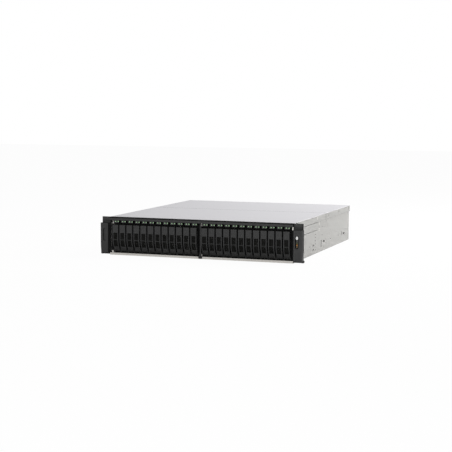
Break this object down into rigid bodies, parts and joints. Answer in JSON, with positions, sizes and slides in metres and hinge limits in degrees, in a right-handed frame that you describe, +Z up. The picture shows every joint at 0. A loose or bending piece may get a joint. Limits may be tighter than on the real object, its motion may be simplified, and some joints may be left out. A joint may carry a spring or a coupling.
{
  "type": "rack-mount network storage server",
  "caption": "Two-unit rack storage server with a row of upright front drive trays under lamps, rack ears, sliding top cover, fans and twin power supplies.",
  "frame": {"origin": "middle of the whole object on the surface it stands on", "axes": "+X to the right of someone facing the front, +Y to the rear, +Z up"},
  "size_m": [0.4826, 0.5334, 0.0883],
  "materials": {
    "black_plastic": "fine matt",
    "bare_steel": "bare zinc-coated sheet",
    "white_plastic": "smooth",
    "clear_lens": "clear",
    "board": "solder mask",
    "black_housing": "matt",
    "cast_alloy": "satin",
    "socket_metal": "tin plated",
    "tray": "matt black front, bare drive",
    "lever": "fine matt"
  },
  "bodies": {
    "chassis": {"chassis_base": "bare_steel", "front_cover": "bare_steel", "front_frame": "black_plastic", "drive_cage": "bare_steel", "rack_brackets": "bare_steel", "left_ear_cover": "black_plastic", "right_ear_cover": "black_plastic", "status_lenses": "clear_lens", "backplane": "board", "backplane_connectors": "black_housing", "fan_wall": "bare_steel", "fan_frames": "black_housing", "air_shroud": "black_housing", "motherboard": "board", "cpu_heatsink": "cast_alloy", "memory_modules": "board", "slot_covers": "bare_steel", "network_card": "board", "io_ports": "socket_metal", "psu_cage": "bare_steel"},
    "top_cover": {"rear_cover": "bare_steel", "cover_screws": "bare_steel"},
    "power_key": {"power_button": "white_plastic"},
    "tray_01": {"drive_tray_01": "tray"},
    "lever_01": {"tray_lever_01": "lever"},
    "tray_02": {"drive_tray_02": "tray"},
    "tray_03": {"drive_tray_03": "tray"},
    "tray_04": {"drive_tray_04": "tray"},
    "tray_05": {"drive_tray_05": "tray"},
    "tray_06": {"drive_tray_06": "tray"},
    "tray_07": {"drive_tray_07": "tray"},
    "tray_08": {"drive_tray_08": "tray"},
    "tray_09": {"drive_tray_09": "tray"},
    "tray_10": {"drive_tray_10": "tray"},
    "tray_11": {"drive_tray_11": "tray"},
    "tray_12": {"drive_tray_12": "tray"},
    "lever_12": {"tray_lever_12": "lever"},
    "tray_13": {"drive_tray_13": "tray"},
    "lever_13": {"tray_lever_13": "lever"},
    "tray_14": {"drive_tray_14": "tray"},
    "tray_15": {"drive_tray_15": "tray"},
    "tray_16": {"drive_tray_16": "tray"},
    "tray_17": {"drive_tray_17": "tray"},
    "tray_18": {"drive_tray_18": "tray"},
    "tray_19": {"drive_tray_19": "tray"},
    "tray_20": {"drive_tray_20": "tray"},
    "tray_21": {"drive_tray_21": "tray"},
    "tray_22": {"drive_tray_22": "tray"},
    "tray_23": {"drive_tray_23": "tray"},
    "tray_24": {"drive_tray_24": "tray"},
    "lever_24": {"tray_lever_24": "lever"},
    "rotor_1": {"fan_rotor_1": "black_housing"},
    "rotor_2": {"fan_rotor_2": "black_housing"},
    "rotor_3": {"fan_rotor_3": "black_housing"},
    "rotor_4": {"fan_rotor_4": "black_housing"},
    "supply_1": {"power_supply_1": "cast_alloy"},
    "latch_1": {"psu_latch_1": "black_housing"},
    "supply_2": {"power_supply_2": "cast_alloy"},
    "latch_2": {"psu_latch_2": "black_housing"}
  },
  "joints": [
    {"name": "rear_cover_slide", "type": "slide", "parent": "chassis", "child": "top_cover", "axis": [0, 1, 0], "range_m": [0, 0.02]},
    {"name": "power_button_press", "type": "slide", "parent": "chassis", "child": "power_key", "axis": [0, 1, 0], "range_m": [0, 0.001], "stiffness_N_per_m": 800, "springref_m": -0.0005},
    {"name": "tray_01_slide", "type": "slide", "parent": "chassis", "child": "tray_01", "axis": [0, -1, 0], "range_m": [0, 0.14]},
    {"name": "lever_01_swing", "type": "hinge", "parent": "tray_01", "child": "lever_01", "pos_m": [-0.20273, -0.2547, 0.0098], "axis": [1, 0, 0], "range_deg": [0, 55]},
    {"name": "tray_02_slide", "type": "slide", "parent": "chassis", "child": "tray_02", "axis": [0, -1, 0], "range_m": [0, 0.14]},
    {"name": "tray_03_slide", "type": "slide", "parent": "chassis", "child": "tray_03", "axis": [0, -1, 0], "range_m": [0, 0.14]},
    {"name": "tray_04_slide", "type": "slide", "parent": "chassis", "child": "tray_04", "axis": [0, -1, 0], "range_m": [0, 0.14]},
    {"name": "tray_05_slide", "type": "slide", "parent": "chassis", "child": "tray_05", "axis": [0, -1, 0], "range_m": [0, 0.14]},
    {"name": "tray_06_slide", "type": "slide", "parent": "chassis", "child": "tray_06", "axis": [0, -1, 0], "range_m": [0, 0.14]},
    {"name": "tray_07_slide", "type": "slide", "parent": "chassis", "child": "tray_07", "axis": [0, -1, 0], "range_m": [0, 0.14]},
    {"name": "tray_08_slide", "type": "slide", "parent": "chassis", "child": "tray_08", "axis": [0, -1, 0], "range_m": [0, 0.14]},
    {"name": "tray_09_slide", "type": "slide", "parent": "chassis", "child": "tray_09", "axis": [0, -1, 0], "range_m": [0, 0.14]},
    {"name": "tray_10_slide", "type": "slide", "parent": "chassis", "child": "tray_10", "axis": [0, -1, 0], "range_m": [0, 0.14]},
    {"name": "tray_11_slide", "type": "slide", "parent": "chassis", "child": "tray_11", "axis": [0, -1, 0], "range_m": [0, 0.14]},
    {"name": "tray_12_slide", "type": "slide", "parent": "chassis", "child": "tray_12", "axis": [0, -1, 0], "range_m": [0, 0.14]},
    {"name": "lever_12_swing", "type": "hinge", "parent": "tray_12", "child": "lever_12", "pos_m": [-0.01276, -0.2547, 0.0098], "axis": [1, 0, 0], "range_deg": [0, 55]},
    {"name": "tray_13_slide", "type": "slide", "parent": "chassis", "child": "tray_13", "axis": [0, -1, 0], "range_m": [0, 0.14]},
    {"name": "lever_13_swing", "type": "hinge", "parent": "tray_13", "child": "lever_13", "pos_m": [0.01276, -0.2547, 0.0098], "axis": [1, 0, 0], "range_deg": [0, 55]},
    {"name": "tray_14_slide", "type": "slide", "parent": "chassis", "child": "tray_14", "axis": [0, -1, 0], "range_m": [0, 0.14]},
    {"name": "tray_15_slide", "type": "slide", "parent": "chassis", "child": "tray_15", "axis": [0, -1, 0], "range_m": [0, 0.14]},
    {"name": "tray_16_slide", "type": "slide", "parent": "chassis", "child": "tray_16", "axis": [0, -1, 0], "range_m": [0, 0.14]},
    {"name": "tray_17_slide", "type": "slide", "parent": "chassis", "child": "tray_17", "axis": [0, -1, 0], "range_m": [0, 0.14]},
    {"name": "tray_18_slide", "type": "slide", "parent": "chassis", "child": "tray_18", "axis": [0, -1, 0], "range_m": [0, 0.14]},
    {"name": "tray_19_slide", "type": "slide", "parent": "chassis", "child": "tray_19", "axis": [0, -1, 0], "range_m": [0, 0.14]},
    {"name": "tray_20_slide", "type": "slide", "parent": "chassis", "child": "tray_20", "axis": [0, -1, 0], "range_m": [0, 0.14]},
    {"name": "tray_21_slide", "type": "slide", "parent": "chassis", "child": "tray_21", "axis": [0, -1, 0], "range_m": [0, 0.14]},
    {"name": "tray_22_slide", "type": "slide", "parent": "chassis", "child": "tray_22", "axis": [0, -1, 0], "range_m": [0, 0.14]},
    {"name": "tray_23_slide", "type": "slide", "parent": "chassis", "child": "tray_23", "axis": [0, -1, 0], "range_m": [0, 0.14]},
    {"name": "tray_24_slide", "type": "slide", "parent": "chassis", "child": "tray_24", "axis": [0, -1, 0], "range_m": [0, 0.14]},
    {"name": "lever_24_swing", "type": "hinge", "parent": "tray_24", "child": "lever_24", "pos_m": [0.20273, -0.2547, 0.0098], "axis": [1, 0, 0], "range_deg": [0, 55]},
    {"name": "fan_1_spin", "type": "hinge", "parent": "chassis", "child": "rotor_1", "pos_m": [-0.15, -0.0967, 0.0415], "axis": [0, -1, 0], "continuous": true},
    {"name": "fan_2_spin", "type": "hinge", "parent": "chassis", "child": "rotor_2", "pos_m": [-0.05, -0.0967, 0.0415], "axis": [0, -1, 0], "continuous": true},
    {"name": "fan_3_spin", "type": "hinge", "parent": "chassis", "child": "rotor_3", "pos_m": [0.05, -0.0967, 0.0415], "axis": [0, -1, 0], "continuous": true},
    {"name": "fan_4_spin", "type": "hinge", "parent": "chassis", "child": "rotor_4", "pos_m": [0.15, -0.0967, 0.0415], "axis": [0, -1, 0], "continuous": true},
    {"name": "supply_1_slide", "type": "slide", "parent": "chassis", "child": "supply_1", "axis": [0, 1, 0], "range_m": [0, 0.2]},
    {"name": "latch_1_press", "type": "slide", "parent": "supply_1", "child": "latch_1", "axis": [-1, 0, 0], "range_m": [0, 0.0025], "stiffness_N_per_m": 1500, "springref_m": -0.0005},
    {"name": "supply_2_slide", "type": "slide", "parent": "chassis", "child": "supply_2", "axis": [0, 1, 0], "range_m": [0, 0.2]},
    {"name": "latch_2_press", "type": "slide", "parent": "supply_2", "child": "latch_2", "axis": [-1, 0, 0], "range_m": [0, 0.0025], "stiffness_N_per_m": 1500, "springref_m": -0.0005}
  ]
}
